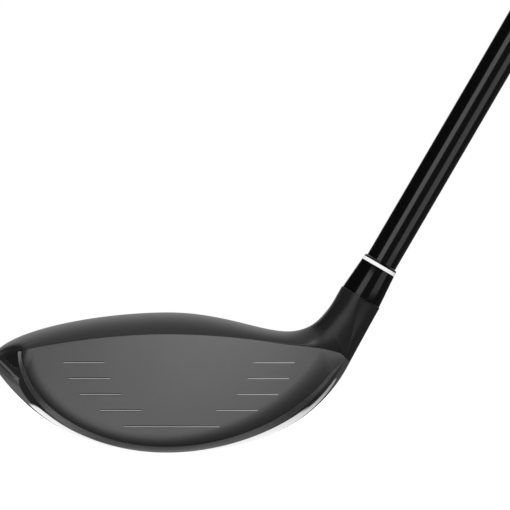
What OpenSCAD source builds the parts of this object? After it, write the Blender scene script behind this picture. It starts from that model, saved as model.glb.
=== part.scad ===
// Fairway wood: a right-handed golf club shown at address, soled on the ground.
// X runs from toe (minus) to heel (plus), Y from the face (minus) to the tail (plus), Z up.
// The origin is the spot where the sole rests. The shaft axis lies in the plane y = 0.

/* [Club] */
// Distance along the shaft axis from the ground to the end of the grip
club_length = 1092; // [900:1:1150]
// Angle between the shaft and the ground
lie_angle = 59.7; // [57:0.1:62]
// Angle by which the face leans back
loft_angle = 15; // [13:0.5:18]
// Where the shaft axis meets the ground, measured from the middle of the face
shaft_foot = 28.4; // [27:0.1:30]

/* [Head] */
// Reach of the toe from the middle of the face
toe_reach = 48.5; // [45:0.5:54]
// Height of the seam at the toe
toe_height = 24.5; // [22:0.5:27]
// Reach of the tail behind the shaft plane
tail_reach = 61; // [54:0.5:70]
// Height of the seam at the tail
tail_height = 18; // [14:0.5:22]
// Height of the top of the crown
crown_height = 38.3; // [37:0.1:42]
// Distance of the crown's ridge behind the shaft plane
ridge_back = 10; // [6:0.5:14]
// Depth ground off the keel to make the flat rest on the sole
rest_grind = 0.3; // [0.2:0.05:0.5]

/* [Face] */
// Height of the top line above the ground at mid face
face_height = 32.4; // [30:0.1:34]
// Distance of the leading edge in front of the shaft plane
face_progression = 17; // [15:0.5:19]
// Radius of the face from toe to heel
bulge_radius = 280; // [240:5:360]
// Radius of the face from sole to crown
roll_radius = 280; // [220:5:360]
// Reach of the flat of the face towards the toe
face_toe_reach = 37.7; // [35:0.1:39]
// Width of the rounded lower edge of the face at the toe
bevel_toe = 7.2; // [5:0.1:9]
// Width of the rounded lower edge under the middle of the face
bevel_low = 5; // [4:0.1:6]
// Width of the rounded lower edge of the face at the heel
bevel_heel = 9.5; // [7:0.1:11]
// How far the rounded lower edge runs back under the face
bevel_depth = 3.2; // [2:0.1:4.5]

/* [Score lines] */
// Height of the top row of score lines
line_top = 24.6; // [22:0.1:26]
// Distance between rows of score lines
line_pitch = 4.45; // [3.5:0.05:4.8]
// Half the distance between the two lines of each row, from the top row down
line_half_gap = [26.2, 24.6, 21.6, 16]; // [10:0.1:28]
// Place of the middle of the rows towards the heel
line_middle = 3.2; // [0:0.1:5]
// Place of the middle of the bottom score line towards the heel
long_line_middle = 1.3; // [-2:0.1:4]
// Length of one short score line
line_length = 11.3; // [8:0.1:14]
// Length of the bottom score line
long_line_length = 26.3; // [20:0.1:30]
// Width of a score line
line_width = 0.55; // [0.4:0.05:1]
// Depth of a score line
line_depth = 0.3; // [0.2:0.05:0.5]
// How far the paint in a score line stays below the face
fill_recess = 0.05; // [0:0.01:0.1]

/* [Walls] */
// Thickness of the crown sheet
crown_wall = 0.8; // [0.6:0.1:1.2]
// Thickness of the sole casting
sole_wall = 3; // [2:0.1:3.6]
// Thickness of the face at its middle
face_wall = 2.2; // [1.6:0.1:3]
// Thickness of all walls where they meet the hosel
neck_wall = 1; // [0.7:0.1:1.2]

/* [Hosel] */
// Distance along the shaft axis from the ground to the top of the hosel
hosel_top = 49.3; // [47:0.1:54]
// Diameter of the hosel at its top
hosel_d = 12; // [11.6:0.1:13]
// Diameter of the hosel's bore
bore_d = 8.7; // [8.6:0.05:9]
// Depth of the shaft in the hosel
insertion = 23; // [20:0.5:23.5]
// Wall of the tube that carries the bore inside the head
tube_wall = 0.85; // [0.6:0.05:0.9]
// Thickness of the plug that closes the bottom of the bore
plug_thickness = 1.5; // [1:0.1:2]

/* [Ferrule] */
// Height of the black sleeve
ferrule_height = 9.4; // [6:0.1:16]
// Diameter of the sleeve where it sits on the hosel
ferrule_base_d = 11.55; // [11:0.05:11.9]
// Diameter of the sleeve at its top
ferrule_top_d = 10.1; // [9.6:0.05:10.8]
// Height of the white ring
ring_height = 1; // [0.6:0.1:2]
// Height of the black lip above the ring
lip_height = 0.7; // [0.4:0.1:1.5]
// How much narrower the lip is than the ring
lip_step = 0.15; // [0:0.05:0.4]

/* [Shaft] */
// Diameter of the painted shaft above the ferrule
shaft_d = 8.8; // [8.7:0.05:9.4]
// Diameter of the bare tip inside the hosel
tip_d = 8.5; // [8.3:0.05:8.6]
// Length of the painted shaft that stays parallel above the hosel
parallel_length = 70; // [40:1:120]
// Diameter of the shaft at the butt
butt_d = 15.2; // [14.5:0.1:16]
// Wall of the shaft at the tip
tip_shaft_wall = 1.5; // [1.2:0.1:2]
// Wall of the shaft at the butt
butt_shaft_wall = 0.9; // [0.7:0.1:1.4]
// Length of the swing-weight plug in the tip
tip_plug_length = 18; // [10:1:30]
// Thickness of the plug's head below the tip
tip_plug_head = 1; // [0.6:0.1:2]

/* [Grip] */
// Length of the grip with its cap
grip_length = 267; // [240:1:290]
// Wall of the grip at its mouth
grip_mouth_wall = 1.5; // [1.2:0.1:2]
// Wall of the grip below its cap
grip_butt_wall = 5.6; // [4.5:0.1:7]
// Thickness of the end cap
cap_thickness = 5; // [3:0.1:8]
// Diameter of the end cap
cap_d = 29.6; // [29:0.1:34]
// Diameter of the vent hole in the end cap
vent_d = 3.2; // [2:0.1:4]
// Thickness of the double-sided tape under the grip
tape_thickness = 0.15; // [0.1:0.05:0.3]

/* [Sole weight] */
// Distance of the weight behind the shaft plane
weight_back = 37.3; // [30:0.1:42]
// Diameter of the weight's head
weight_d = 12.6; // [10:0.1:14]
// Thickness of the weight's head
weight_head = 3; // [2.5:0.1:4]
// Diameter of the weight's threaded stem
stem_d = 5.9; // [5:0.1:6.5]
// Width of the weight's hexagon socket across its corners
socket_d = 4.4; // [3:0.1:5]
// Depth of the weight's hexagon socket
socket_depth = 2.2; // [1.5:0.1:2.4]
// Distance that the weight moves in one turn
thread_pitch = 1; // [0.8:0.05:1.25]
// Turns of thread that hold the weight
thread_turns = 5; // [4:1:6]
// Thickness of the washer under the weight's head
washer_thickness = 0.8; // [0.5:0.1:1.2]
// Wall of the port that holds the weight
port_wall = 1.2; // [0.9:0.1:2]
// Clearance round moving pieces
running_gap = 0.1; // [0.05:0.01:0.2]
// Free depth left beyond the end of the stem
stem_clearance = 0.5; // [0.3:0.1:1]

/* [Hidden] */
$fn = 64;
// How far cutting tools run past the faces that they cut
overshoot = 1;

// The shaft's own frame: along the axis and square to it in the lie plane
axis = [cos(lie_angle), 0, sin(lie_angle)];
across = [-sin(lie_angle), 0, cos(lie_angle)];
hosel_r = hosel_d / 2;
function at_shaft(along, aside, y) = [shaft_foot, y, 0] + along * axis + aside * across;

function mix(a, b, f) = a + (b - a) * f;
function smooth(f) = f * f * (3 - 2 * f);
function unit(v) = v / norm(v);
function bezier(p, t) =
    pow(1 - t, 3) * p[0] + 3 * pow(1 - t, 2) * t * p[1] + 3 * (1 - t) * t * t * p[2] + t * t * t * p[3];

// The striking face: a loft plane with bulge from toe to heel and roll from sole to crown
function face_y(x, z) =
    -face_progression + z * tan(loft_angle) + x * x / (2 * bulge_radius)
    + z * (z - face_height) / (2 * roll_radius);
function on_face(p, back) = [p[0], face_y(p[0], p[2]) + back, p[2]];

// How far the face's rounded heel corner lies behind the loft plane
heel_setback = 0.3;

// The foot of the neck, where the hosel grows out of the head: how far up the shaft axis, how far
// to the side of it and how far behind it each line of the head arrives
toe_back = 8;
neck_top_place = [39, hosel_r + 0.65, 2];
neck_low_place = [32.4, -hosel_r - 0.45, 2.5];
neck_back_place = [34.7, -1.9, 12];
face_heel_place = [32.8, -4.6, 0];
function at_place(p) = at_shaft(p[0], p[1], p[2]);

// Where the head's lines end
toe_tip = [-toe_reach, toe_back, toe_height];
neck_top = at_place(neck_top_place);
neck_low = at_place(neck_low_place);
neck_back = at_place(neck_back_place);
face_heel = on_face(at_place(face_heel_place), heel_setback);
tail = [0, tail_reach, tail_height];
peak = [0, ridge_back, crown_height];
keel = [0, 0, -rest_grind];
brow = [0, 0, face_height];
lead_height = 0.1;
lead = [0, 0, lead_height];

// Pulls that shape the lines below: how far, and which way, each curve leaves its ends
toe_rise = [0, 0, 7];
toe_drop = [2, 0, -8.5];
toe_sweep = [0, 28, -2.5];
crown_pull = [22, 0, 0];
saddle_pull = [-8.9, 2, -9.5];
tail_pull = [25, 0, 0];
heel_sweep = [-4, 22, -8.5];
keel_pull = [26, 0, 0];
heel_drop = [-8.3, 3.5, -16.3];
brow_pull = [18, 0, 0];
brow_drop = 4;
brow_corner = [1.7, 0, 0.4];
brow_heel_pull = [-12.9, 0, 3.5];
lead_corner = [3.2, 0, 0.9];
lead_pull = [23, 0, 0];
lead_toe_drop = [0, 0, -15];
lead_heel_pull = [-4.9, 0, -14];
neck_pull = 4.5;
crown_lift = [0.68, -0.15, 0.73];
back_lift = [0.35, -0.55, 0.75];
keel_lift = [0.48, -0.05, 0.88];

// The five lines that shape the head. Each runs from the toe to mid head, from there to the
// foot of the neck, and then up to the top of the hosel, as one Bezier curve per stretch.
function neck_line(foot, way, aside, y) =
    let (rim = at_shaft(hosel_top, aside, y))
    [foot, foot + neck_pull * unit(way), rim - neck_pull * axis, rim];
face_toe = [-face_toe_reach, 0, face_height - brow_drop];
lead_toe = face_toe - lead_corner;
crown_line = [
    [toe_tip, toe_tip + toe_rise, peak - crown_pull, peak],
    [peak, peak + crown_pull, neck_top + saddle_pull, neck_top],
    neck_line(neck_top, crown_lift, hosel_r, 0)];
tail_line = [
    [toe_tip, toe_tip + toe_sweep, tail - tail_pull, tail],
    [tail, tail + tail_pull, neck_back + heel_sweep, neck_back],
    neck_line(neck_back, back_lift, 0, hosel_r)];
keel_line = [
    [toe_tip, toe_tip + toe_drop, keel - keel_pull, keel],
    [keel, keel + keel_pull, neck_low + heel_drop, neck_low],
    neck_line(neck_low, keel_lift, -hosel_r, 0)];
top_line = [
    [face_toe, face_toe + brow_corner, brow - brow_pull, brow],
    [brow, brow + brow_pull, face_heel + brow_heel_pull, face_heel],
    neck_line(face_heel, axis, 0, -hosel_r)];
lower_line = [
    [lead_toe, lead_toe + lead_toe_drop, lead - lead_pull, lead],
    [lead, lead + lead_pull, face_heel + lead_heel_pull, face_heel]];

function along(line, s) = let (k = min(floor(s), len(line) - 1)) bezier(line[k], s - k);

// One station of the head, from s = 0 at the toe over 1 at mid head to 2 at the neck and 3 at
// the hosel's top. Its outline is a chain of quarter arcs from line to line.
round_pull = 0.5523;
brow_fullness = 0.6;
neck_fullness = 0.75;
neck_bulge = 1.6;
brow_lean = 0.12;
crown_fullness = 0.45;
crown_edge_fullness = 0.25;
skirt_fullness = 0.35;
sole_fullness = 0.6;
bevel_fullness = 0.6;
// At the toe the bevel and the sole's front edge shrink to these shares of their depth
toe_ease_reach = 0.4;
toe_bevel_share = 0.6;
toe_keel_share = 0.2;
// Beside the toe's end the bevel takes this share of the face at most
bevel_share = 0.8;
bevel_share_reach = 0.07;
function roundness(s) = s < 1 ? pow(1 - s, 2) : smooth(min(1, s - 1));
function arc_pull(body, s) = mix(body, round_pull, roundness(s));
function quarter(a, b, corner, pull_a, pull_b, t) =
    bezier([a, a + pull_a * (corner - a), b + pull_b * (corner - b), b], t);

function setback(s) = heel_setback * max(0, s - 1);
function top_point(s) = let (p = along(top_line, s)) s < 2 ? on_face(p, setback(s)) : p;
function toe_ease(s) = smooth(min(1, s / toe_ease_reach));
function low_depth(s) =
    s < 1 ? bevel_depth * mix(toe_bevel_share, 1, toe_ease(s))
          : mix(bevel_depth, heel_setback, pow(s - 1, 3));
function low_point(s) = s < 2 ? on_face(along(lower_line, s), low_depth(s)) : top_point(s);
function bevel_width(s) =
    s < 1 ? mix(bevel_toe, bevel_low, smooth(s)) : mix(bevel_low, bevel_heel, smooth(min(1, s - 1)));
function edge_point(s) =
    let (t = top_point(s), l = low_point(s), share = bevel_width(s) / max(norm(t - l), 0.001))
    let (limit = s < 1 ? mix(1, bevel_share, min(1, s / bevel_share_reach)) : 1)
    on_face(mix(l, t, min(limit, share)), setback(s));

// The neck's front quarter swells, so the tube inside keeps a full wall around it
function neck_swell(s) = s < 1 ? 0 : s < 2 ? pow(smooth(s - 1), 2) : 1 - smooth(s - 2);

function brow_arc(s, t) =
    let (a = top_point(s), b = along(crown_line, s), swell = neck_swell(s))
    let (corner = [b.x, a.y - swell * neck_bulge, b.z])
    let (lean = [0, brow_lean * (1 - roundness(s)) * (b.y - a.y), 0])
    let (top_pull = mix(round_pull, neck_fullness, swell))
    let (ridge_pull = mix(arc_pull(brow_fullness, s), neck_fullness, swell))
    bezier([a, a + top_pull * (corner - a) + lean, b + ridge_pull * (corner - b), b], t);
function crown_arc(s, t) =
    let (a = along(crown_line, s), b = along(tail_line, s))
    quarter(a, b, [a[0], b[1], a[2]], arc_pull(crown_fullness, s), arc_pull(crown_edge_fullness, s), t);
function skirt_arc(s, t) =
    let (a = along(tail_line, s), b = along(keel_line, s))
    quarter(a, b, [b[0], a[1], b[2]], arc_pull(skirt_fullness, s), arc_pull(sole_fullness, s), t);
function keel_arc(s, t) =
    let (a = along(keel_line, s), b = low_point(s))
    quarter(a, b, [a[0], b[1], a[2]], round_pull, round_pull * mix(toe_keel_share, 1, toe_ease(s)), t);
function bevel_arc(s, t) =
    let (a = low_point(s), b = edge_point(s))
    quarter(a, b, on_face(a, setback(s)), bevel_fullness, bevel_fullness, t);
function face_arc(s, t) =
    let (p = mix(edge_point(s), top_point(s), t)) on_face(p, setback(s));

// At the toe the crown's edge follows the edge of the bevel and of the sole, then eases away
bevel_steps = 4;
keel_steps = 8;
brow_steps = bevel_steps + keel_steps;
crown_steps = 12;
skirt_steps = 12;
face_steps = 8;
toe_steps = 14;
heel_steps = 16;
neck_steps = 8;
ease_reach = 0.5;
function toe_seam(j) =
    j <= bevel_steps ? bevel_arc(0, 1 - j / bevel_steps) : keel_arc(0, 1 - (j - bevel_steps) / keel_steps);
function brow_point(s, j) =
    let (t = j / brow_steps, p = brow_arc(s, t))
    s >= ease_reach ? p : p + pow(1 - s / ease_reach, 2) * (toe_seam(j) - brow_arc(0, t));

function grounded(p) = [p[0], p[1], max(p[2], 0)];
function crown_row(s) = concat([for (j = [0 : brow_steps]) brow_point(s, j)],
                               [for (j = [1 : crown_steps]) crown_arc(s, j / crown_steps)]);
function sole_row(s) = concat([for (j = [0 : skirt_steps]) grounded(skirt_arc(s, j / skirt_steps))],
                              [for (j = [1 : keel_steps]) grounded(keel_arc(s, j / keel_steps))]);
function face_row(s) = concat([for (j = [0 : bevel_steps]) grounded(bevel_arc(s, j / bevel_steps))],
                              [for (j = [1 : face_steps]) face_arc(s, j / face_steps)]);
body_stations = concat([for (i = [0 : toe_steps]) i / toe_steps],
                       [for (i = [1 : heel_steps]) 1 + i / heel_steps]);
neck_stations = [for (i = [0 : neck_steps]) 2 + i / neck_steps];

// Walls grow inwards, towards the nearest point of a core box deep in the head, so that
// neighbouring sheets share their edges
core_low = [-30, 0, 16];
core_high = [32, 42, 24];
function nearest_core(p) = [for (k = [0 : 2]) min(max(p[k], core_low[k]), core_high[k])];
function inwards(p, wall) = p + wall * unit(nearest_core(p) - p);
function wall_at(wall, s) = s < 1 ? wall : mix(wall, neck_wall, smooth(s - 1));

// Triangles over a grid of rows, leaving out those that shrink to nothing at the tips
function quad(a, b, c, d) = [[a, b, c], [a, c, d]];
function grid_faces(rows, cols, first, flip) =
    [for (i = [0 : rows - 2], j = [0 : cols - 2])
        let (a = first + i * cols + j, q = [a, a + 1, a + cols + 1, a + cols])
        each (flip ? quad(q[3], q[2], q[1], q[0]) : quad(q[0], q[1], q[2], q[3]))];
smallest_face = 0.00001;
function real_faces(points, faces) =
    [for (f = faces)
        if (norm(cross(points[f[1]] - points[f[0]], points[f[2]] - points[f[0]])) > smallest_face) f];
module sheet(outer, inner) {
    rows = len(outer);
    cols = len(outer[0]);
    far = rows * cols;
    points = concat([for (r = outer) each r], [for (r = inner) each r]);
    last = (rows - 1) * cols;
    sides = concat(
        [for (j = [0 : cols - 2]) each quad(j + 1, j, far + j, far + j + 1)],
        [for (j = [0 : cols - 2]) each quad(last + j, last + j + 1, far + last + j + 1, far + last + j)],
        [for (i = [0 : rows - 2]) let (e = i * cols)
            each quad(e, e + cols, far + e + cols, far + e)],
        [for (i = [0 : rows - 2]) let (e = i * cols + cols - 1)
            each quad(e + cols, e, far + e, far + e + cols)]);
    faces = concat(grid_faces(rows, cols, 0, false), grid_faces(rows, cols, far, true), sides);
    polyhedron(points, real_faces(points, faces));
}
module shell_of(rows, wall) {
    inner = [for (i = [0 : len(rows) - 1])
        [for (p = rows[i]) inwards(p, wall_at(wall, body_stations[i]))]];
    sheet(rows, inner);
}

// Head

module crown_shell() {
    color("#4b4c4e") shell_of([for (s = body_stations) crown_row(s)], crown_wall);
}

module on_shaft(along) {
    translate([shaft_foot, 0, 0]) rotate([0, 90 - lie_angle, 0]) translate([0, 0, along]) children();
}

port_r = weight_d / 2 + running_gap + port_wall;
// The weight sits square to the sole's skin at its distance from the shaft plane
function sole_share(y, low, high, tries) =
    let (half = (low + high) / 2)
    tries == 0 ? half : skirt_arc(1, half)[1] > y ? sole_share(y, half, high, tries - 1)
                                                  : sole_share(y, low, half, tries - 1);
weight_share = sole_share(weight_back, 0, 1, 30);
weight_seat = skirt_arc(1, weight_share);
sole_slope = skirt_arc(1, weight_share - 0.01) - skirt_arc(1, weight_share + 0.01);
weight_tilt = atan2(sole_slope[2], sole_slope[1]);
module at_weight() {
    translate(weight_seat) rotate([weight_tilt, 0, 0]) children();
}

module sole_body() {
    color("#c9cacc") difference() {
        shell_of([for (s = body_stations) sole_row(s)], sole_wall);
        at_weight() translate([0, 0, -port_height]) cylinder(h = 2 * port_height, r = port_r);
    }
}

// Score lines follow the bulge as arcs about an upright axis behind the face
line_rows = len(line_half_gap);
module score_line(x, z, length, sink) {
    turn = 180 / (PI * bulge_radius);
    translate([0, face_y(0, z) + bulge_radius, z - line_width / 2])
        rotate([0, 0, -90 + (x - length / 2) * turn])
            rotate_extrude(angle = length * turn, $fn = 720)
                translate([bulge_radius - line_depth, 0]) square([line_depth + sink, line_width]);
}
module score_lines(sink) {
    for (row = [0 : line_rows - 1], side = [-1, 1])
        score_line(line_middle + side * line_half_gap[row], line_top - row * line_pitch, line_length, sink);
    score_line(long_line_middle, line_top - line_rows * line_pitch, long_line_length, sink);
}

module face_cup() {
    color("#636466") difference() {
        shell_of([for (s = body_stations) face_row(s)], face_wall);
        score_lines(overshoot);
    }
}

module score_line_fill() {
    color("#b9babc") score_lines(-fill_recess);
}

tube_r = bore_d / 2 + tube_wall;
shaft_end = hosel_top - insertion;
tube_start = shaft_end - plug_thickness;
// The neck is solid above this height, and the tube runs up into it
neck_floor = 38;
tube_overlap = 2;
module neck_block() {
    ring_size = brow_steps + crown_steps + skirt_steps + keel_steps;
    rings = [for (s = neck_stations)
        let (top = crown_row(s), low = sole_row(s))
        concat([for (j = [0 : brow_steps + crown_steps - 1]) top[j]],
               [for (j = [0 : skirt_steps + keel_steps - 1]) low[j]])];
    inner = [for (p = rings[0]) inwards(p, neck_wall)];
    hubs = [at_shaft(neck_floor, 0, 0), at_shaft(hosel_top, 0, 0)];
    points = concat(inner, [for (r = rings) each r], hubs);
    count = len(rings) + 1;
    hub = count * ring_size;
    last = (count - 1) * ring_size;
    faces = concat(
        [for (i = [0 : count - 2], j = [0 : ring_size - 1])
            let (a = i * ring_size + j, b = i * ring_size + (j + 1) % ring_size)
            each quad(a, b, b + ring_size, a + ring_size)],
        [for (j = [0 : ring_size - 1]) [(j + 1) % ring_size, j, hub]],
        [for (j = [0 : ring_size - 1]) [last + j, last + (j + 1) % ring_size, hub + 1]]);
    polyhedron(points, real_faces(points, faces));
}

module hosel() {
    color("#1d1e20") difference() {
        union() {
            neck_block();
            on_shaft(tube_start) cylinder(h = neck_floor + tube_overlap - tube_start, r = tube_r);
        }
        on_shaft(tube_start - overshoot) cylinder(h = hosel_top, d = bore_d);
    }
}

module bore_plug() {
    color("#3a3a3a") on_shaft(tube_start) cylinder(h = plug_thickness, d = bore_d);
}

// Ferrule

module revolve(points) {
    rotate_extrude() polygon(points);
}

lip_d = ferrule_top_d - lip_step;
module ferrule_sleeve() {
    color("#101012") on_shaft(hosel_top) revolve([
        [shaft_d / 2, 0], [ferrule_base_d / 2, 0], [ferrule_top_d / 2, ferrule_height],
        [shaft_d / 2, ferrule_height]]);
}

module ferrule_ring() {
    color("white") on_shaft(hosel_top + ferrule_height) revolve([
        [shaft_d / 2, 0], [ferrule_top_d / 2, 0], [ferrule_top_d / 2, ring_height],
        [shaft_d / 2, ring_height]]);
}

module ferrule_lip() {
    bevel = lip_height / 2;
    color("#101012") on_shaft(hosel_top + ferrule_height + ring_height) revolve([
        [shaft_d / 2, 0], [lip_d / 2, 0], [lip_d / 2, lip_height - bevel], [lip_d / 2 - bevel, lip_height],
        [shaft_d / 2, lip_height]]);
}

// Shaft

butt_end = club_length - cap_thickness;
taper_start = hosel_top + parallel_length;
tip_face = shaft_end + tip_plug_head;
tip_bore = tip_d / 2 - tip_shaft_wall;
butt_bore = butt_d / 2 - butt_shaft_wall;
function shaft_r(along) =
    mix(shaft_d, butt_d, max(0, along - taper_start) / (butt_end - taper_start)) / 2;

module shaft() {
    color("#121214") on_shaft(0) revolve([
        [tip_bore, tip_face], [tip_d / 2, tip_face], [tip_d / 2, hosel_top], [shaft_d / 2, hosel_top],
        [shaft_d / 2, taper_start], [butt_d / 2, butt_end], [butt_bore, butt_end],
        [tip_bore, taper_start]]);
}

module shaft_bond() {
    color("#c8b27a") on_shaft(shaft_end) difference() {
        cylinder(h = insertion, d = bore_d);
        translate([0, 0, -overshoot]) cylinder(h = insertion + 2 * overshoot, d = tip_d);
    }
}

module tip_weight() {
    color("#b08d42") on_shaft(shaft_end) {
        cylinder(h = tip_plug_head, d = tip_d);
        cylinder(h = tip_plug_head + tip_plug_length, r = tip_bore);
    }
}

// Grip

grip_mouth = club_length - grip_length;
module tapered_sleeve(from, to, inset, wall_low, wall_high) {
    on_shaft(0) revolve([
        [shaft_r(from) + inset, from], [shaft_r(from) + inset + wall_low, from],
        [shaft_r(to) + inset + wall_high, to], [shaft_r(to) + inset, to]]);
}

module grip_tape() {
    color("#d9d2bd") tapered_sleeve(grip_mouth, butt_end, 0, tape_thickness, tape_thickness);
}

module grip_sleeve() {
    color("#18181a") tapered_sleeve(grip_mouth, butt_end, tape_thickness, grip_mouth_wall, grip_butt_wall);
}

module grip_cap() {
    edge = cap_thickness / 3;
    color("#18181a") on_shaft(butt_end) difference() {
        revolve([[0, 0], [cap_d / 2 - edge, 0], [cap_d / 2, edge], [cap_d / 2, cap_thickness - edge],
                 [cap_d / 2 - edge, cap_thickness], [0, cap_thickness]]);
        translate([0, 0, -overshoot]) cylinder(h = cap_thickness + 2 * overshoot, d = vent_d);
    }
}

// Sole weight, seen along its axis from inside the head

port_rim = 0.2;
head_top = port_rim + weight_head;
port_floor = head_top + washer_thickness + 2 * running_gap;
stem_length = thread_turns * thread_pitch;
port_height = port_floor + stem_length + stem_clearance + port_wall;
stem_hole_r = stem_d / 2 + running_gap / 2;

module weight_port() {
    color("#b5b6b8") at_weight() translate([0, 0, port_rim]) difference() {
        cylinder(h = port_height - port_rim, r = port_r);
        translate([0, 0, -overshoot])
            cylinder(h = port_floor - port_rim + overshoot, r = port_r - port_wall);
        cylinder(h = port_floor - port_rim + stem_length + stem_clearance, r = stem_hole_r);
    }
}

module weight_washer() {
    color("#e3e3e0") at_weight() translate([0, 0, head_top + running_gap]) difference() {
        cylinder(h = washer_thickness, d = weight_d);
        translate([0, 0, -overshoot]) cylinder(h = washer_thickness + 2 * overshoot, r = stem_hole_r);
    }
}

module weight_screw() {
    color("#8f9194") at_weight() translate([0, 0, port_rim]) difference() {
        union() {
            cylinder(h = weight_head, d = weight_d);
            cylinder(h = port_floor - port_rim + stem_length, d = stem_d);
        }
        translate([0, 0, -overshoot]) cylinder(h = socket_depth + overshoot, d = socket_d, $fn = 6);
    }
}

sole_body();
face_cup();
crown_shell();
hosel();
bore_plug();
score_line_fill();
ferrule_sleeve();
ferrule_ring();
ferrule_lip();
shaft();
shaft_bond();
tip_weight();
grip_tape();
grip_sleeve();
grip_cap();
weight_port();
weight_washer();
weight_screw();
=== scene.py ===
# %% [markdown]
# # A fairway wood
# A golf club with a hollow steel head, a painted crown, a dark satin face, a black ferrule with a
# white ring, a gloss black graphite shaft, a rubber grip and a weight that screws into the sole.
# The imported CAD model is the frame. This script dresses it: it draws the pieces again with smooth
# skins and small real edges, gives each one a finish, and lights the club as a catalogue would.

# %% Load the frame
from math import atan2, cos, pi, radians, sin, tan
import bmesh
import bpy
import numpy as np
from mathutils import Matrix, Vector
from mathutils.kdtree import KDTree


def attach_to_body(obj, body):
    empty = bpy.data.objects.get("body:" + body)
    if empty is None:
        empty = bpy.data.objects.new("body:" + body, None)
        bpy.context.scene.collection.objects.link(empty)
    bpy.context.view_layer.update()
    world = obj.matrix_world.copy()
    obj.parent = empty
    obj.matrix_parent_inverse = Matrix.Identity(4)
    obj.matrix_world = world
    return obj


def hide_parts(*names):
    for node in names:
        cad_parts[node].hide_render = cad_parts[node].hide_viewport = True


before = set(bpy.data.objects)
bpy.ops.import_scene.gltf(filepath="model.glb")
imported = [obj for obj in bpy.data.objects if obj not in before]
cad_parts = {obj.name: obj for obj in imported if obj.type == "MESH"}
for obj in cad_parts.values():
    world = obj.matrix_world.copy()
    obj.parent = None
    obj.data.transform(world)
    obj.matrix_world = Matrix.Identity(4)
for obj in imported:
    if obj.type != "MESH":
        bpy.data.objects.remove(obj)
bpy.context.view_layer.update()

scene = bpy.context.scene
MM = 0.001

# %% [markdown]
# ## From points to a piece
# All sizes below are in millimetres, as on the drawing, and become metres in one place. A piece
# comes from points and faces. Doubled points are merged, so that seams and tips close, slivers
# without area are dissolved, and edges sharper than a given angle stay crisp while the rest is
# shaded smooth. Blender's own primitives could start a piece too, but none has these curves.

# %% Helpers: objects and meshes
MERGE, SLIVER = 1e-6, 1e-7
TINY = 1e-6


def vec(*numbers):
    return np.array(numbers, float)


def put_object(name, data):
    thing = bpy.data.objects.new(name, data)
    scene.collection.objects.link(thing)
    return thing


def clean(mesh, crisp):
    form = bmesh.new()
    form.from_mesh(mesh)
    bmesh.ops.remove_doubles(form, verts=form.verts, dist=MERGE)
    bmesh.ops.dissolve_degenerate(form, edges=form.edges, dist=SLIVER)
    bmesh.ops.recalc_face_normals(form, faces=form.faces)
    open_edges = sum(not e.is_manifold for e in form.edges)
    form.to_mesh(mesh)
    form.free()
    mesh.shade_smooth()
    mesh.set_sharp_from_angle(angle=radians(crisp))
    return open_edges


def new_mesh(name, points=(), faces=()):
    mesh = bpy.data.meshes.new(name)
    mesh.from_pydata(points, [], faces)
    return mesh


def put_mesh(name, points, faces, crisp=40):
    mesh = new_mesh(name, (np.asarray(points) * MM).tolist(), faces)
    open_edges = clean(mesh, crisp)
    print(f"{name}: {len(mesh.polygons)} faces, {open_edges} open edges")
    return put_object(name, mesh)


print("points within", MERGE / MM, "mm of each other are merged")

# %% [markdown]
# ## The lines of the head
# A head like this is drawn as a boat is. Five lines run from the toe to the hosel: the crown's
# ridge, the tail, the keel, the top line of the face and its lower edge. Each is a chain of Bezier
# curves. A station, one cut across the head, is then a ring of arcs from line to line. Sculpting
# could give such a form too, but lines stay fair and close to the CAD model. They are its own
# lines, eased a little at the toe, at the heel corner of the face and at the neck.

# %% Helpers: blends and curves
def mix(a, b, f):
    return a + (b - a) * f


def smooth(f):
    return f * f * (3 - 2 * f)


def ramp(value, start, width):
    return smooth(np.clip((value - start) / width, 0, 1))


def unit(v):
    return v / np.linalg.norm(v)


def bezier(p, t):
    t = np.asarray(t, float)[..., None]
    return (1 - t) ** 3 * p[0] + 3 * (1 - t) ** 2 * t * p[1] + 3 * (1 - t) * t * t * p[2] + t ** 3 * p[3]


print("a ramp from 0 to 4 at 1:", round(float(ramp(1, 0, 4)), 3))

# %% The shaft's frame and the face
shaft_foot, lie, loft = 28.4, radians(59.7), radians(15)
hosel_r, hosel_top = 6.0, 49.3
axis, across = vec(cos(lie), 0, sin(lie)), vec(-sin(lie), 0, cos(lie))
face_progression, face_height, bulge_radius, roll_radius = 17.0, 32.4, 280.0, 280.0
heel_setback = 0.3


def at_shaft(height, aside, y):
    return vec(shaft_foot, y, 0) + height * axis + aside * across


def face_y(x, z):
    return (-face_progression + z * tan(loft) + x * x / (2 * bulge_radius)
            + z * (z - face_height) / (2 * roll_radius))


def on_face(p, back):
    p = np.array(p, float)
    p[..., 1] = face_y(p[..., 0], p[..., 2]) + back
    return p


print(f"face: y {face_y(0, 0):.1f} mm at the ground, {face_y(0, face_height):.1f} mm at the top")

# %% The five lines
toe_tip = vec(-48.5, 8, 24.5)
neck_top, neck_low = at_shaft(39, hosel_r + 0.65, 2), at_shaft(32.4, -hosel_r - 0.45, 2.5)
neck_back, face_heel = at_shaft(34.7, -1.9, 12), on_face(at_shaft(32.8, -4.6, 0), heel_setback)
tail, peak, keel = vec(0, 61, 18), vec(0, 10, 38.3), vec(0, 0, -0.3)
brow, lead = vec(0, 0, face_height), vec(0, 0, 0.1)
face_toe = vec(-37.7, 0, face_height - 4)
lead_toe = face_toe - vec(3.2, 0, 0.9)
neck_reach = 4.5


def neck_line(foot, way, aside, y):
    rim = at_shaft(hosel_top, aside, y)
    return [foot, foot + neck_reach * unit(vec(*way)), rim - neck_reach * axis, rim]


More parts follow.
